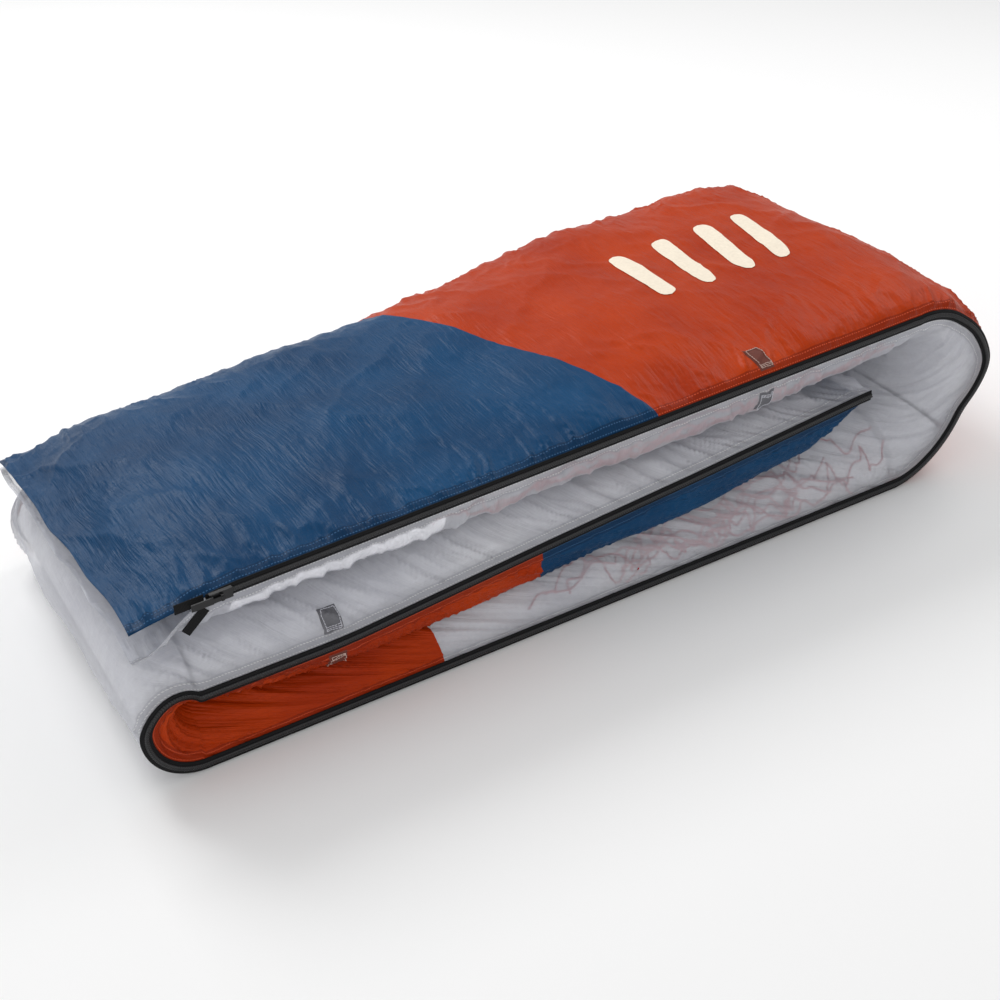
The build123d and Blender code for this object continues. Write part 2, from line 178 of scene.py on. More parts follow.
def wrinkled(p, outward, seed, folds=1.0, lumps=4.0):
    # cloth moved along its normal: gathers that start at the zip and fade inwards, long slanted
    # tension creases, small crumples, and low lumps of what is packed below
    s, d = distances(p)
    far = d[:, -1:] - d
    edge = np.minimum(d, far)
    fade = 1 - np.exp(-(edge / wrinkles["calm"]) ** 2)
    warp = 9 * lattice(s / 60, d / 45, seed) + 3 * lattice(s / 22, d / 22, seed + 1)
    gather = crease((s + warp) / 15, d / 170, seed + 2) - 0.25
    gather = gather + 0.6 * (crease((s + 1.7 * warp) / 8, d / 70, seed + 3) - 0.25)
    rise = gather * (wrinkles["gatherNear"] * np.exp(-edge / wrinkles["nearReach"])
                     + wrinkles["gatherFar"] * np.exp(-edge / wrinkles["farReach"]))
    slant = s * 0.8 + d * 0.55 + 2.2 * warp
    other = s * 0.6 - d * 0.75 + 1.8 * warp
    tension = crease(slant / 46, other / 190, seed + 4) + crease(other / 60, slant / 210, seed + 5) - 0.5
    small = crease((s + warp) / 24, (d - warp) / 26, seed + 6) - 0.25
    tiny = crease((s - warp) / 9, (d + warp) / 13, seed + 7) - 0.25
    low = lattice(s / 120, d / 95, seed + 8) + 0.5 * lattice(s / 50, d / 62, seed + 9)
    move = folds * (rise + wrinkles["tension"] * tension + wrinkles["small"] * small
                    + wrinkles["tiny"] * tiny)
    move = (move + lumps * low * (1 - np.exp(-edge / 40))) * fade
    moved = p + normals(p) * outward * move[:, :, None]
    # near the zip and the back seam the cloth stays behind the tapes
    free = np.clip((edge - 9) / 16, 0, 1)
    moved[:, :, 1] = np.clip(moved[:, :, 1], sack["front"] + 0.3 - 5.5 * free, sack["back"] - 0.3 + 2 * free)
    moved[:, :, 2] = np.maximum(moved[:, :, 2], 0.3)
    return {"p": moved, "n": normals(moved), "s": s, "d": d, "outward": outward}


def meshOf(name, p, uv, flip=False, closed=False, attributes=None, shade=None):
    # a grid of points in millimetres becomes a mesh in metres; uv is its two distances, also in millimetres
    rows, cols = p.shape[:2]
    index = np.arange(rows * cols).reshape(rows, cols)
    if closed:
        index = np.hstack([index, index[:, :1]])
    a, b, c, d = index[:-1, :-1], index[1:, :-1], index[1:, 1:], index[:-1, 1:]
    quads = np.stack([a, d, c, b] if flip else [a, b, c, d], axis=2).reshape(-1, 4)
    mesh = bpy.data.meshes.new(name)
    mesh.from_pydata((p.reshape(-1, 3) * 0.001).tolist(), [], quads.tolist())
    pair = np.stack([uv[0].ravel(), uv[1].ravel()], axis=1)[quads.ravel()] * 0.001
    mesh.uv_layers.new(name="UVMap").data.foreach_set("uv", pair.astype(np.float32).ravel())
    for key, values in (attributes or {}).items():
        layer = mesh.attributes.new(key, "FLOAT", "POINT")
        layer.data.foreach_set("value", np.asarray(values, np.float32).ravel())
    mesh.polygons.foreach_set("use_smooth", [True] * len(quads))
    mesh.update()
    if shade is not None:
        mesh.normals_split_custom_set_from_vertices(shade.reshape(-1, 3).tolist())
    obj = bpy.data.objects.new(name, mesh)
    bpy.context.scene.collection.objects.link(obj)
    return obj


class Num:
    # a socket that takes part in sums, so that shader maths reads as maths
    def __init__(self, shader, socket):
        self.shader, self.socket = shader, socket

    def _do(self, operation, a, b):
        return self.shader.node("ShaderNodeMath", {"operation": operation}, {0: a, 1: b})

    def __add__(self, o): return self._do("ADD", self, o)
    def __radd__(self, o): return self._do("ADD", o, self)
    def __sub__(self, o): return self._do("SUBTRACT", self, o)
    def __rsub__(self, o): return self._do("SUBTRACT", o, self)
    def __mul__(self, o): return self._do("MULTIPLY", self, o)
    def __rmul__(self, o): return self._do("MULTIPLY", o, self)
    def __truediv__(self, o): return self._do("DIVIDE", self, o)
    def __gt__(self, o): return self._do("GREATER_THAN", self, o)
    def __lt__(self, o): return self._do("LESS_THAN", self, o)
    def __pow__(self, o): return self._do("POWER", self, o)


class Shader:
    def __init__(self, name):
        self.material = bpy.data.materials.new(name)
        self.material.use_nodes = True
        self.tree = self.material.node_tree
        self.tree.nodes.clear()

    def node(self, kind, settings=None, inputs=None, output=0):
        n = self.tree.nodes.new(kind)
        for key, value in (settings or {}).items():
            if key == "stops":
                ramp = n.color_ramp
                while len(ramp.elements) < len(value):
                    ramp.elements.new(0.5)
                for element, (place, colour) in zip(ramp.elements, value):
                    element.position, element.color = place, colour
            else:
                setattr(n, key, value)
        for key, value in (inputs or {}).items():
            if isinstance(value, Num):
                self.tree.links.new(value.socket, n.inputs[key])
            else:
                n.inputs[key].default_value = value
        return Num(self, n.outputs[output]) if n.outputs else None

    def wave(self, value):
        return self.node("ShaderNodeMath", {"operation": "SINE"}, {0: value})

    def absolute(self, value):
        return self.node("ShaderNodeMath", {"operation": "ABSOLUTE"}, {0: value})

    def noise(self, place, scale, detail=3.0, rough=0.55):
        return self.node("ShaderNodeTexNoise", {}, {
            "Vector": place, "Scale": scale, "Detail": detail, "Roughness": rough})

    def mix(self, factor, a, b):
        return self.node("ShaderNodeMix", {"data_type": "RGBA"}, {0: factor, 6: a, 7: b}, 2)

    def stretched(self, place, scale):
        return self.node("ShaderNodeMapping", {}, {"Vector": place, "Scale": scale})

    def uv(self):
        return self.node("ShaderNodeTexCoord", output=2)

    def place(self):
        return self.node("ShaderNodeTexCoord", output=3)

    def split(self, vector):
        n = self.tree.nodes.new("ShaderNodeSeparateXYZ")
        self.tree.links.new(vector.socket, n.inputs[0])
        return [Num(self, o) for o in n.outputs]

    def bump(self, height, strength, distance):
        return self.node("ShaderNodeBump", {}, {
            "Height": height, "Strength": strength, "Distance": distance})

    def finish(self, **sockets):
        inputs = {key.replace("_", " "): value for key, value in sockets.items()}
        surface = self.node("ShaderNodeBsdfPrincipled", {}, inputs)
        self.node("ShaderNodeOutputMaterial", {}, {0: surface})
        return self.material


ripstop = {"grid": 0.0052, "threads": 0.00042, "band": 0.013, "stitch": 0.0032}


def ripstopCloth(name, deep, lit, alpha=1.0, roughness=0.4, band=0.6, shine=0.16):
    # thin coated cloth: a faint square grid, cloudy colour, a doubled sewn band along both edges
    s = Shader(name)
    uv = s.uv()
    x, y, _ = s.split(uv)
    width = s.node("ShaderNodeAttribute", {"attribute_name": "width"}, output=2)
    gridX = s.absolute(s.wave(x * (math.pi / ripstop["grid"])))
    gridY = s.absolute(s.wave(y * (math.pi / ripstop["grid"])))
    line = (gridX < 0.16) + (gridY < 0.16)
    weave = s.wave(x * (2 * math.pi / ripstop["threads"])) * s.wave(y * (2 * math.pi / ripstop["threads"]))
    cloud = s.noise(s.place(), 9.0, 4.0)
    fine = s.noise(s.place(), 70.0, 3.0, 0.7)
    edge = s.node("ShaderNodeMath", {"operation": "MINIMUM"}, {0: y, 1: width - y})
    sewn = edge < ripstop["band"]
    row = s.absolute(edge - 0.0045) < 0.0005
    row = row + (s.absolute(edge - 0.0105) < 0.0005)
    stitch = row * (s.wave(x * (2 * math.pi / ripstop["stitch"])) > -0.2)
    tone = s.mix(cloud * 1.5 - 0.25, (*deep, 1), (*lit, 1))
    tone = s.mix(line * 0.12, tone, (*[c * 0.55 for c in deep], 1))
    tone = s.mix(sewn * 0.6, tone, (*[c * band for c in deep], 1))
    tone = s.mix(stitch * 0.6, tone, (*[min(1, c * 1.6 + 0.05) for c in lit], 1))
    streaks = s.absolute(s.noise(s.stretched(uv, (1.0, 0.11, 1.0)), 95.0, 3.0, 0.6) - 0.5) * 7
    streaks = streaks + s.absolute(s.noise(s.stretched(uv, (0.55, 0.22, 1.0)), 60.0, 3.0, 0.55) - 0.5) * 7
    height = line * 0.25 + fine * 0.6 + weave * 0.03 + stitch * 0.8 - streaks
    sockets = dict(Base_Color=tone, Roughness=fine * 0.16 + (roughness - 0.08),
                   Normal=s.bump(height, 0.5, 0.0009), Specular_IOR_Level=shine)
    if alpha < 1:
        sockets["Alpha"] = s.node("ShaderNodeMath", {"operation": "ADD", "use_clamp": True}, {
            0: sewn * 0.16 + line * 0.04, 1: fine * 0.1 + (alpha - 0.05)})
    return s.finish(**sockets)


def plainWeave(name, colour, scale=900.0, roughness=0.8):
    # woven tape or webbing
    s = Shader(name)
    place = s.place()
    x, y, z = s.split(place)
    n = s.noise(place, 160.0, 2.0)
    weave = s.wave(x * (2 * scale)) * s.wave(y * (2 * scale) + z * (2 * scale))
    tone = s.mix(n, (*colour, 1), (*[c * 1.7 + 0.004 for c in colour], 1))
    return s.finish(Base_Color=tone, Roughness=n * 0.2 + (roughness - 0.1), Specular_IOR_Level=0.2,
                    Normal=s.bump(weave, 0.3, 0.0004))


def hardShine(name, colour, roughness, metallic=0.0):
    # moulded or enamelled small parts
    s = Shader(name)
    n = s.noise(s.place(), 300.0, 3.0)
    tone = s.mix(n * 0.6, (*colour, 1), (*[c * 1.5 + 0.002 for c in colour], 1))
    return s.finish(Base_Color=tone, Roughness=n * 0.15 + (roughness - 0.07), Metallic=metallic,
                    Normal=s.bump(n, 0.1, 0.0002))


blueCloth = ripstopCloth("blue ripstop", (0.0012, 0.028, 0.085), (0.0025, 0.062, 0.165), shine=0.13)
orangeCloth = ripstopCloth("orange ripstop", (0.30, 0.018, 0.0004), (0.50, 0.048, 0.0008), shine=0.13)
whiteCloth = ripstopCloth("white ripstop", (0.66, 0.67, 0.74), (0.80, 0.81, 0.86), 0.46, 0.42, 0.45, 0.4)
packedCloth = ripstopCloth("packed canopy cloth", (0.66, 0.66, 0.70), (0.80, 0.80, 0.82), 1.0, 0.6)
tapeWeave = plainWeave("black zip tape", (0.003, 0.003, 0.0035))
webbingWeave = plainWeave("black webbing", (0.012, 0.012, 0.014), 500.0)
patchWeave = plainWeave("sewn patch", (0.10, 0.028, 0.020), 600.0, 0.6)
patchPale = plainWeave("sewn patch seen through white cloth", (0.10, 0.10, 0.11), 600.0, 0.6)
bindingWeave = plainWeave("seam binding", (0.42, 0.42, 0.46), 700.0)
stripWeave = plainWeave("stiff white strip", (0.80, 0.80, 0.82), 400.0, 0.55)
lineWeave = plainWeave("pink bridle line", (0.26, 0.002, 0.010), 1500.0, 0.6)
coilNylon = hardShine("black coil nylon", (0.004, 0.004, 0.005), 0.35)
sliderEnamel = hardShine("black slider enamel", (0.008, 0.008, 0.009), 0.32, 0.3)
buckleNylon = hardShine("black buckle nylon", (0.012, 0.012, 0.013), 0.45)
battenNylon = hardShine("batten nylon", (0.75, 0.75, 0.72), 0.4)
markInk = hardShine("cream mark", (0.72, 0.64, 0.52), 0.5)


def paint(obj, material):
    obj.data.materials.clear()
    obj.data.materials.append(material)


lowerBend = ("base", "fold_turn", (0.391, 0, 0.106), (0.429, 0, 0.144))
upperBend = ("fold_turn", "top_flap", (0.429, 0, 0.106), (0.391, 0, 0.144))


def settle(obj, material, slot, body=None, bend=None, nodes=()):
    # every piece gets its finish and the CAD nodes it stands for; a piece on one body gets that body, and a
    # piece across a bend only has its place baked in
    paint(obj, material)
    if bend:
        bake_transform(obj)
    else:
        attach(obj, body)
    if nodes:
        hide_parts(*nodes)
    return obj


print("frame, shapes and finishes ready")

# Camera at the sack's near left, looking along it
cameraPlace = {"at": (-0.926, -1.366, 1.067), "azimuth": -33.86, "elevation": 32.4, "lens": 62.4,
               "sensor": 36}
cam = bpy.data.cameras.new("camera")
cam.lens, cam.sensor_width = cameraPlace["lens"], cameraPlace["sensor"]
camObject = bpy.data.objects.new("camera", cam)
bpy.context.scene.collection.objects.link(camObject)
camObject.location = cameraPlace["at"]
camObject.rotation_euler = (
    math.radians(90 - cameraPlace["elevation"]), 0, math.radians(cameraPlace["azimuth"]))
bpy.context.scene.camera = camObject

v = across(132)
nearZip = 20  # the column of a sheet along which distances are read
midway = 66


def seamX(front, back):
    # a slanted seam's x at each place across
    y = sack["midY"] + v * sack["reach"]
    return front + (back - front) * (y - sack["front"]) / (2 * sack["reach"])


def slanted(kind, side, first, seam, last, n1, n2):
    # a grid with one row on a slanted seam: each place across has its own x in each row
    t1 = np.linspace(0, 1, n1)[:, None]
    t2 = np.linspace(0, 1, n2)[1:, None]
    xs = np.vstack([first + (seam - first) * t1, seam + (last - seam) * t2])
    return np.concatenate([
        cloth(ribs(kind, xs[:, j]), side, v[j:j + 1]) for j in range(len(v))], axis=1)


def stack(*grids):
    return np.vstack([grids[0]] + [g[1:] for g in grids[1:]])


def panel(name, sheet, first, last, material, slot, held="stretched", rests=(), **where):
    # one cloth panel, cut from a wrinkled sheet between two of its rows
    rows = slice(first, last + 1)
    p, s, d = sheet["p"][rows], sheet["s"][rows], sheet["d"][rows]
    flip = sheet["outward"] < 0
    width = np.repeat(d[:, -1:] * 0.001, d.shape[1], axis=1)
    shade = sheet["n"][rows] * sheet["outward"]
    obj = meshOf(name, p, (s, d), flip, attributes={"width": width}, shade=shade)
    settle(obj, material, slot, **where)
    flat = (float(np.median(d[:, -1])) * 0.001, float((s[-1] - s[0]).mean()) * 0.001)
    print(f"{name}: {flat[0]:.2f} m wide, {flat[1]:.2f} m long")
    return obj


# Where each slanted seam meets the zip and the back seam
seams = {"top": (45, -88), "bottom": (-212, -330), "middle": (-95, 60)}
mouth = {"ramp": 62, "lift": 7, "hang": -17, "depth": 60, "wave": 7, "waveLength": 55, "waveDepth": 300}


def openMouth(grid, side):
    # past the slider the two zip edges part: the upper one lifts a little and the lower one hangs
    _, d = distances(grid)
    past = np.clip((sack["sliderX"] - grid[:, :, 0]) / mouth["ramp"], 0, 1)
    past = past * past * (3 - 2 * past)
    rise = mouth["lift"] if side > 0 else mouth["hang"]
    grid[:, :, 2] += rise * past * np.exp(-(d / mouth["depth"]) ** 2)
    wave = lattice(d / mouth["waveLength"], 0 * d, 77) + 0.4
    grid[:, :, 0] += mouth["wave"] * past * wave * np.exp(-d / mouth["waveDepth"])
    return grid


# The outside: coloured side of half A, then the white side of half B. Each stretch has its rows.
outRows = {"blue": 150, "orange": 120, "fold": 61, "underOrange": 90, "underWhite": 40, "left": 44,
           "middle": 230}
topOut = openMouth(slanted("top", 1, sack["mouthX"], seamX(*seams["top"]), sack["rightX"],
                           outRows["blue"], outRows["orange"]), 1)
foldUpper = cloth(ribs("right", np.linspace(180, 90, outRows["fold"])), 1, v)
foldLower = cloth(ribs("right", np.linspace(90, 0, outRows["fold"])), 1, v)
underRight = slanted("bottom", 1, sack["rightX"], seamX(*seams["bottom"]), sack["leftX"],
                     outRows["underOrange"], outRows["underWhite"])
leftOut = cloth(ribs("left", np.linspace(0, 180, outRows["left"])), 1, v)
middleOut = cloth(ribs("middle", np.linspace(sack["leftX"], sack["endX"], outRows["middle"])), 1, v)
outer = wrinkled(stack(topOut, foldUpper, foldLower, underRight, leftOut, middleOut), 1, 21)
atSeam = outRows["blue"] - 1
atTopEnd = atSeam + outRows["orange"] - 1
atTurn = atTopEnd + outRows["fold"] - 1
atUnderSeam = atTurn + outRows["fold"] - 1 + outRows["underOrange"] - 1
atMiddle = atUnderSeam + outRows["underWhite"] - 1 + outRows["left"] - 1
atEndB = len(outer["p"]) - 1
panel("blue_panel_top", outer, 0, atSeam, blueCloth, "ripstop_blue", body="top_flap",
      rests=["canopy_top_layer"], nodes=["panel_blue_a_top", "mouth_upper_lip"])
panel("orange_panel_top_and_fold", outer, atSeam, atTurn, orangeCloth, "ripstop_orange", bend=upperBend,
      rests=["canopy_top_layer"], nodes=["panel_orange_a_top", "panel_orange_a_fold_end"])
panel("orange_panel_fold_and_underside", outer, atTurn, atUnderSeam, orangeCloth, "ripstop_orange",
      bend=lowerBend, rests=["canopy_bottom_layer"],
      nodes=["panel_orange_a_fold", "panel_orange_a_fold_start", "panel_orange_a_underside"])
panel("white_panel_left_fold_and_middle", outer, atUnderSeam, atEndB, whiteCloth, "ripstop_white",
      body="base", rests=["canopy_middle_layer"],
      nodes=["panel_white_b_underside", "panel_white_b_left_fold", "panel_white_b_top", "end_b_upper"])
print("outside of the sack done")

# The inside of the folds: white side of half A, then the coloured side of half B
inRows = {"top": 269, "fold": 40, "bottomWhite": 190, "bottomOrange": 76, "left": 40,
          "middleOrange": 120, "middleBlue": 90}
topIn = openMouth(cloth(ribs("top", np.linspace(sack["mouthX"], sack["rightX"], inRows["top"])), -1, v), -1)
foldInUpper = cloth(ribs("right", np.linspace(180, 90, inRows["fold"])), -1, v)
foldInLower = cloth(ribs("right", np.linspace(90, 0, inRows["fold"])), -1, v)
bottomIn = slanted("bottom", -1, sack["rightX"], seamX(*seams["bottom"]), sack["leftX"],
                   inRows["bottomWhite"], inRows["bottomOrange"])
leftIn = cloth(ribs("left", np.linspace(0, 180, inRows["left"])), -1, v)
middleIn = slanted("middle", -1, sack["leftX"], seamX(*seams["middle"]), sack["endX"],
                   inRows["middleOrange"], inRows["middleBlue"])
inner = wrinkled(stack(topIn, foldInUpper, foldInLower, bottomIn, leftIn, middleIn), -1, 47, lumps=2.5)
inTopEnd = inRows["top"] - 1
inTurn = inTopEnd + inRows["fold"] - 1
inBottom = inTurn + inRows["fold"] - 1
inSeam = inBottom + inRows["bottomWhite"] - 1
inMiddle = inSeam + inRows["bottomOrange"] - 1 + inRows["left"] - 1
inBlue = inMiddle + inRows["middleOrange"] - 1
inEnd = len(inner["p"]) - 1
panel("white_panel_under_top", inner, 0, inTurn, whiteCloth, "ripstop_white", bend=upperBend,
      rests=["canopy_top_layer"],
      nodes=["panel_white_a_under_top", "panel_white_a_fold_end", "mouth_lower_lip"])
panel("white_panel_fold_and_bottom", inner, inTurn, inSeam, whiteCloth, "ripstop_white", bend=lowerBend,
      rests=["canopy_bottom_layer"],
      nodes=["panel_white_a_fold", "panel_white_a_fold_start", "panel_white_a_inner"])
panel("orange_panel_inside_left_fold", inner, inSeam, inBlue, orangeCloth, "ripstop_orange",
      body="base", rests=["canopy_middle_layer"], nodes=["panel_orange_b_inner", "panel_orange_b_under"])
panel("blue_panel_under_middle", inner, inBlue, inEnd, blueCloth, "ripstop_blue", body="base",
      rests=["canopy_middle_layer"], nodes=["panel_blue_b_under", "end_b_lower"])
print("inside of the folds done")


canopy = {"inset": 9.0, "clearOfZip": 12, "pleat": 0.02, "pleatBase": 0.985, "pleatPitch": 17,
          "pleatLength": 120}


def canopyBlock(name, kind, first, last, n, body, node):
    # packed cells: a closed form inside the cloth, pleated across the sack, its ends drawn to a point
    places = np.linspace(first, last, n)
    r = ribs(kind, places)
    vv = across(48)
    upper, lower = cloth(r, 1, vv, canopy["inset"]), cloth(r, -1, vv, canopy["inset"])
    ring = np.concatenate([upper, lower[:, ::-1][:, 1:-1]], axis=1)
    centre = ring.mean(axis=1, keepdims=True)
    s, d = distances(ring)
    pleat = crease(s / canopy["pleatPitch"], d / canopy["pleatLength"], 5)[:, :, None]
    ring = centre + (ring - centre) * (canopy["pleatBase"] + canopy["pleat"] * pleat)
    ring[:, :, 1] = np.maximum(ring[:, :, 1], sack["front"] + canopy["clearOfZip"])
    ends = [np.repeat(c[None], ring.shape[1], axis=0)[None] for c in (centre[0, 0], centre[-1, 0])]
    ring = np.concatenate([ends[0], ring, ends[1]])
    s, d = distances(ring)
    obj = meshOf(name, ring, (s, d), closed=True, attributes={"width": np.full(s.shape, 5.0)})
    settle(obj, packedCloth, "canopy_cloth", body=body, nodes=[node])
    return obj


canopyBlock("packed_canopy_top", "top", 405, -450, 150, "top_flap", "canopy_top_layer")
canopyBlock("packed_canopy_fold_end", "right", 137, 178, 20, "top_flap", "canopy_fold_end")
canopyBlock("packed_canopy_fold_turn", "right", 47, 133, 30, "fold_turn", "canopy_fold_turn")
canopyBlock("packed_canopy_fold_start", "right", 2, 43, 20, "base", "canopy_fold_start")
canopyBlock("packed_canopy_bottom", "bottom", 405, -468, 150, "base", "canopy_bottom_layer")
canopyBlock("packed_canopy_left_fold", "left", 3, 177, 30, "base", "canopy_left_fold")
canopyBlock("packed_canopy_middle", "middle", -468, 285, 130, "base", "canopy_middle_layer")


def edgeLine(step, *parts):
    # the zip's line: the edge of each cross-section, with the normal that the tape lies along
    rows = []
    for kind, a, b in parts:
        size = abs(b - a) if kind in ("top", "bottom", "middle") else abs(math.radians(b - a)) * 110
        r = ribs(kind, np.linspace(a, b, max(8, int(size / step))))
        if kind == "bottom":
            r["front"], r["back"] = r["front"] - 4, r["back"] - 4
        rows.append(r)
    rows = [rows[0]] + [{k: a[1:] for k, a in r.items()} for r in rows[1:]]
    return {k: np.concatenate([r[k] for r in rows]) for k in rows[0]}


def stripAlong(name, r, profile, edge, y, ripple=None):
    # a closed profile carried along an edge: each profile point is (height along the normal,
    # distance outwards in Y), and ripple changes the profile with the distance along
    heights, outs = np.array(profile).T
    base = np.stack([r["cx"] + r["nx"] * r[edge], r["cz"] + r["nz"] * r[edge]], axis=1)
    run = np.concatenate([[0], np.cumsum(np.linalg.norm(np.diff(base, axis=0), axis=1))])
    h = r[edge][:, None] + heights[None, :]
    out = y + np.sign(y) * (outs[None, :] + (0 if ripple is None else ripple(run, heights, outs)))
    p = np.stack([r["cx"][:, None] + r["nx"][:, None] * h, out + 0 * h,
                  r["cz"][:, None] + r["nz"][:, None] * h], axis=2)
    p = skewed(p)
    s = np.repeat(run[:, None], p.shape[1], axis=1)
    d = np.repeat(np.cumsum(np.r_[0, np.hypot(np.diff(heights), np.diff(outs))])[None], len(run), axis=0)
    return meshOf(name, p, (s, d), flip=y < 0, closed=True)


tapeProfile = [(-6, 0), (-6, 0.8), (-3.2, 1.1), (-2.8, 1.4), (2.8, 1.4), (3.2, 1.1), (6, 0.8), (6, 0)]
coilProfile = [(-2.5, 1.3), (-2.3, 2.3), (-1.3, 3.0), (-0.15, 2.7),
               (0.15, 2.7), (1.3, 3.0), (2.3, 2.3), (2.5, 1.3)]
seamProfile = [(-5, 0), (-5, 0.7), (0, 1.1), (5, 0.7), (5, 0)]
coil = {"pitch": 2.6, "height": 0.42, "base": 1.5}


def teeth(run, heights, outs):
    # each half of the coil rises and falls once a pitch, half a pitch apart
    phase = np.where(heights > 0, 0, math.pi)[None, :]
    proud = (outs > coil["base"])[None, :]
    return proud * coil["height"] * np.sin(2 * math.pi * run[:, None] / coil["pitch"] + phase)


upperParts = (("top", -455, 410), ("right", 180, 90))
lowerParts = (("right", 90, 0), ("bottom", 410, -471), ("left", 0, 180), ("middle", -471, 345))
for half, parts, bend, places in (
        ("upper", upperParts, upperBend, ["flap"]), ("lower", lowerParts, lowerBend, ["fold", "base"])):
    tape = stripAlong(f"zip_tape_{half}", edgeLine(4, *parts), tapeProfile, "front", sack["front"])
    settle(tape, tapeWeave, "zip_tape", bend=bend, nodes=[f"zip_tape_{p}" for p in places])
    chain = stripAlong(f"zip_coil_{half}", edgeLine(0.65, *parts), coilProfile, "front", sack["front"], teeth)
    settle(chain, coilNylon, "zip_coil", bend=bend, nodes=[f"zip_coil_{p}" for p in places])
    seam = stripAlong(f"back_seam_{half}", edgeLine(5, *parts), seamProfile, "back", sack["back"])
    settle(seam, bindingWeave, "seam_binding", bend=bend, nodes=[f"back_seam_tape_{p}" for p in places])
print("packed canopy, zip and back seam done")


def onSheet(sheet, s, d, lift):
    # points on a wrinkled sheet at distances s along and d across, raised by lift on the outside:
    # the nearest row is found by distance along near the zip, and the rest is straight between points
    rows = sheet["s"][:, nearZip]
    i = np.interp(s, rows, np.arange(len(rows)))
    widths = sheet["d"][np.clip(np.round(i).astype(int), 0, len(rows) - 1)]
    count = widths.shape[-1]
    pairs = zip(np.ravel(d), widths.reshape(-1, count))
    j = np.array([np.interp(b, w, np.arange(count)) for b, w in pairs]).reshape(np.shape(d))
    i0, j0 = np.minimum(i.astype(int), len(rows) - 2), np.minimum(j.astype(int), count - 2)
    a, b = (i - i0)[..., None], (j - j0)[..., None]

    def at(field):
        return ((field[i0, j0] * (1 - b) + field[i0, j0 + 1] * b) * (1 - a)
                + (field[i0 + 1, j0] * (1 - b) + field[i0 + 1, j0 + 1] * b) * a)
    return at(sheet["p"]) + at(sheet["n"]) * sheet["outward"] * np.asarray(lift)[..., None]


def alongAt(sheet, first, last, x):
    # the distance along a sheet where it passes x close to the zip, between two rows
    xs = sheet["p"][first:last + 1, nearZip, 0]
    order = np.argsort(xs)
    return float(np.interp(x, xs[order], sheet["s"][first:last + 1, nearZip][order]))


def sewnPatch(name, sheet, s, d, size, material, body, node):
    # a webbing patch that follows the cloth, a little proud, with its edges turned down, and its stitches
    u, w = np.linspace(-1, 1, 26), np.linspace(-1, 1, 30)
    uu, ww = np.meshgrid(u, w, indexing="ij")
    lift = 1.1 * (1 - np.maximum(np.abs(uu), np.abs(ww)) ** 14)
    p = onSheet(sheet, s + uu * size[0] / 2, d + (ww + 1) * size[1] / 2, lift)
    obj = meshOf(name, p, (uu * size[0], ww * size[1]), flip=sheet["outward"] < 0)
    settle(obj, material, "anchor_patch", body=body, nodes=[node])
    thread = threadCotton if material is patchWeave else bindingWeave
    threads(name + "_stitches", sheet, boxRoute(s, d, size), 1.5, body, thread)
    return obj


def boxRoute(s, d, size):
    # a sewn box just inside the patch's edge, and a bar across it next to the zip
    x, y0, y1 = size[0] / 2 - 2.5, d + 2.5, d + size[1] - 2.5
    corners = [(s - x, y0), (s + x, y0), (s + x, y1), (s - x, y1), (s - x, y0)]
    return corners + [(s - x, y0 + 1.6), (s + x, y0 + 1.6), (s + x, y0 + 3.2), (s - x, y0 + 3.2)]


def threads(name, sheet, corners, lift, body, thread):
    # short stitches along a route on the cloth, each a small six-sided grain
    pts = []
    for a, b in zip(corners, corners[1:]):
        n = max(1, int(math.dist(a, b) / 2.6))
        for k in range(n):
            f, g = (k + 0.12) / n, (k + 0.88) / n
            pts.append([(a[0] + (b[0] - a[0]) * q, a[1] + (b[1] - a[1]) * q) for q in (f, (f + g) / 2, g)])
    pts = np.array(pts)
    lifts = np.array([lift, lift + 0.35, lift])[None, :] + 0 * pts[:, :, 0]
    line = onSheet(sheet, pts[:, :, 0], pts[:, :, 1], lifts)
    curve = bpy.data.curves.new(name, "CURVE")
    curve.dimensions, curve.bevel_depth, curve.bevel_resolution = "3D", 0.0004, 1
    for stitch in line * 0.001:
        spline = curve.splines.new("POLY")
        spline.points.add(2)
        spline.points.foreach_set("co", np.c_[stitch, np.ones(3)].ravel())
    obj = bpy.data.objects.new(name, curve)
    bpy.context.scene.collection.objects.link(obj)
    return settle(obj, thread, "anchor_patch", body=body)


threadCotton = plainWeave("pale sewing thread", (0.42, 0.30, 0.26), 2000.0, 0.6)
# A patch on a coloured panel lies outside the cloth; one on a white panel lies outside it too, in the grey of
# a patch seen through the cloth
patches = {"size": (20.0, 30.0), "paleSize": (20, 24), "depth": 8, "paleDepth": 12}
sewnPatch("anchor_patch_top", outer, alongAt(outer, 0, atTopEnd, 186), patches["depth"],
          patches["size"], patchWeave, "top_flap", "strap_anchor_top_coloured")
sewnPatch("anchor_patch_under_top", inner, alongAt(inner, 0, inTopEnd, 190), patches["paleDepth"],
          patches["paleSize"], patchPale, "top_flap", "strap_anchor_top_white")
sewnPatch("anchor_patch_under_middle", inner, alongAt(inner, inMiddle, inEnd, -326), patches["depth"],
          patches["size"], patchWeave, "base", "strap_anchor_middle_coloured")
sewnPatch("anchor_patch_middle", outer, alongAt(outer, atMiddle, atEndB, -332), patches["paleDepth"],
          patches["paleSize"], patchPale, "base", "strap_anchor_middle_white")


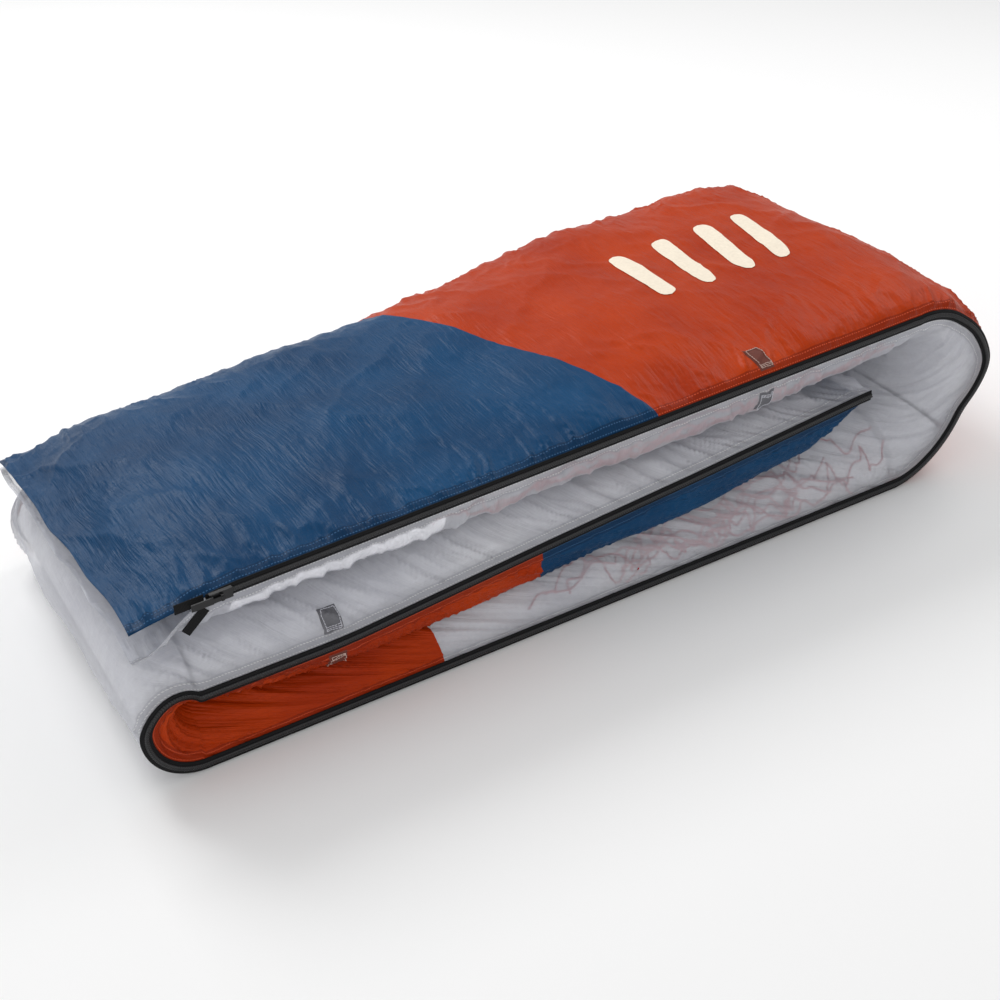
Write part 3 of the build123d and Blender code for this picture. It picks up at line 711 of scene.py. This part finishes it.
def bridle(name, sheet, sStart, sEnd, count, reach, seed, body, node):
    # loose lines just under thin cloth, wandering near the zip, some crossing, some looping back
    draw = np.random.default_rng(seed)
    curve = bpy.data.curves.new(name, "CURVE")
    curve.dimensions, curve.bevel_depth, curve.bevel_resolution = "3D", 0.0011, 2
    for k in range(count):
        n = 160
        t = np.linspace(0, 1, n)
        a, b = sStart + (sEnd - sStart) * np.sort(draw.uniform(0, 1, 2))
        if b - a < 120:
            a, b = max(sStart, a - 100), min(sEnd, b + 100)
        s = a + (b - a) * t + 9 * np.sin(2 * math.pi * (draw.uniform(2, 5) * t + draw.uniform()))
        d = draw.uniform(18, reach) + 14 * np.sin(2 * math.pi * (draw.uniform(1, 3.5) * t + draw.uniform()))
        d = np.clip(d + 6 * np.sin(2 * math.pi * (draw.uniform(4, 9) * t + draw.uniform())), 9, reach + 14)
        p = onSheet(sheet, s, d, np.full(n, -2.0 - 0.2 * (k % 4))) * 0.001
        spline = curve.splines.new("POLY")
        spline.points.add(n - 1)
        spline.points.foreach_set("co", np.c_[p, np.ones(n)].ravel())
    obj = bpy.data.objects.new(name, curve)
    bpy.context.scene.collection.objects.link(obj)
    return settle(obj, lineWeave, "bridle_line", body=body, nodes=[node])


bridle("bridle_lines_upper", inner, alongAt(inner, 0, inTopEnd, -215), alongAt(inner, 0, inTopEnd, 385),
       12, 50, 3, "top_flap", "bridle_lines_top")
bottomRight = float(inner["s"][inBottom, nearZip]) + 12
bottomLeft = float(inner["s"][inSeam, nearZip]) - 15
bridle("bridle_lines_lower", inner, bottomRight, bottomLeft, 16, 80, 8, "base", "bridle_lines_bottom")


def flatStrip(name, sheet, s0, s1, d0, d1, lift, material, slot, body, nodes):
    # a plain strip that follows a sheet at a set depth
    ss, dd = np.meshgrid(np.linspace(s0, s1, 60), np.linspace(d0, d1, 12), indexing="ij")
    p = onSheet(sheet, ss, dd, np.full(ss.shape, lift))
    strip = meshOf(name, p, (ss, dd), flip=sheet["outward"] < 0)
    return settle(strip, material, slot, body=body, nodes=nodes)


for name, sheet, material in (("upper", outer, blueCloth), ("lower", inner, whiteCloth)):
    reach = float(sheet["d"][:4, -1].min())
    ss, dd = np.meshgrid(np.linspace(0.2, 7, 4), np.linspace(2, reach - 3, 150), indexing="ij")
    hem = meshOf(f"mouth_hem_{name}_band", onSheet(sheet, ss, dd, np.full(ss.shape, 0.5)), (ss, dd),
                 flip=sheet["outward"] < 0, attributes={"width": np.full(ss.shape, 0.4)})
    settle(hem, material, "seam_binding", body="top_flap", nodes=[f"mouth_hem_{name}"])

flatStrip("stiff_strip_beside_zip", inner, alongAt(inner, 0, inTopEnd, -430),
          alongAt(inner, 0, inTopEnd, -205), 12, 42, -1.0, stripWeave, "backing_strip", "top_flap",
          ["zip_backing_strip"])
print("patches, lines and strip done")


strap = {"half": 10, "inset": 11.0, "clearOfZip": 9}


def strapLoop(name, kind, x, material, body, node):
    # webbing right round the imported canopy, well inside the wrinkled cloth
    r = ribs(kind, np.linspace(x - strap["half"], x + strap["half"], 6))
    upper, lower = cloth(r, 1, across(60), strap["inset"]), cloth(r, -1, across(60), strap["inset"])
    ring = np.concatenate([upper, lower[:, ::-1][:, 1:-1]], axis=1)
    ring[:, :, 1] = np.maximum(ring[:, :, 1], sack["front"] + strap["clearOfZip"])
    obj = meshOf(name, ring, distances(ring), closed=True)
    settle(obj, material, "strap_webbing", body=body, nodes=[node])


strapLoop("strap_loop_top", "top", 186, webbingWeave, "top_flap", "strap_webbing_top")
strapLoop("strap_loop_middle", "middle", -326, webbingWeave, "base", "strap_webbing_middle")


bars = {"starts": (176, 236, 296, 350), "width": 24, "front": -50, "back": 72, "lean": 16}


def mark(name, x0, x1, y0, y1, lean):
    # a plain rounded bar printed on the top cloth: its outline is a superellipse, leaning with depth
    u, w = np.meshgrid(np.linspace(-1, 1, 16), np.linspace(-1, 1, 60), indexing="ij")
    half = np.sqrt(np.clip(1 - np.abs(w) ** 9, 0, 1))
    y = (y0 + y1) / 2 + w * (y1 - y0) / 2
    x = (x0 + x1) / 2 + u * half * (x1 - x0) / 2 + lean * w
    rows, middleRow = slice(0, atTopEnd + 1), atSeam + 60
    sx = np.interp(x, outer["p"][rows, midway, 0], outer["s"][rows, nearZip])
    dy = np.interp(y, outer["p"][middleRow, :, 1], outer["d"][middleRow])
    p = onSheet(outer, sx, dy, np.full(sx.shape, 0.5))
    obj = meshOf(name, p, (x, y))
    settle(obj, markInk, "ripstop_orange", body="top_flap")


for number, start in enumerate(bars["starts"], 1):
    mark(f"printed_bar_{number}", start, start + bars["width"], bars["front"], bars["back"], bars["lean"])
print("straps and marks done")

finishes = {
    "leading_edge_battens": battenNylon, "zip_slider": sliderEnamel, "slider_pull": sliderEnamel,
    "zip_tail_upper": tapeWeave, "zip_tail_lower": tapeWeave,
    "strap_buckle_top": buckleNylon, "strap_buckle_middle": buckleNylon,
}
for name, material in finishes.items():
    paint(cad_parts[name], material)

# Pale floor and soft studio light
bpy.ops.mesh.primitive_plane_add(size=30, location=(0, 0, 0))
floor = bpy.context.active_object
floor.name = "floor"
floorPaint = Shader("pale floor")
floor.data.materials.append(floorPaint.finish(Base_Color=(0.9, 0.9, 0.9, 1), Roughness=0.9))
bpy.context.scene.view_settings.view_transform = "Standard"
world = bpy.data.worlds.new("studio")
bpy.context.scene.world = world
world.use_nodes = True
world.node_tree.nodes["Background"].inputs[0].default_value = (1, 1, 1, 1)
world.node_tree.nodes["Background"].inputs[1].default_value = 0.6
# Each light's place, its power in watts and its size
lights = {
    "key": ((-0.5, 1.7, 1.9), 34, 1.1),
    "side": ((1.9, 0.3, 1.9), 14, 1.2),
    "front": ((-1.4, -2.4, 1.3), 16, 2.0),
}
for name, (at, power, size) in lights.items():
    lamp = bpy.data.lights.new(name, "AREA")
    lamp.energy, lamp.size = power, size
    lampObject = bpy.data.objects.new(name, lamp)
    bpy.context.scene.collection.objects.link(lampObject)
    lampObject.location = at
    lampObject.rotation_euler = Vector([-a for a in at]).to_track_quat("-Z", "Y").to_euler()
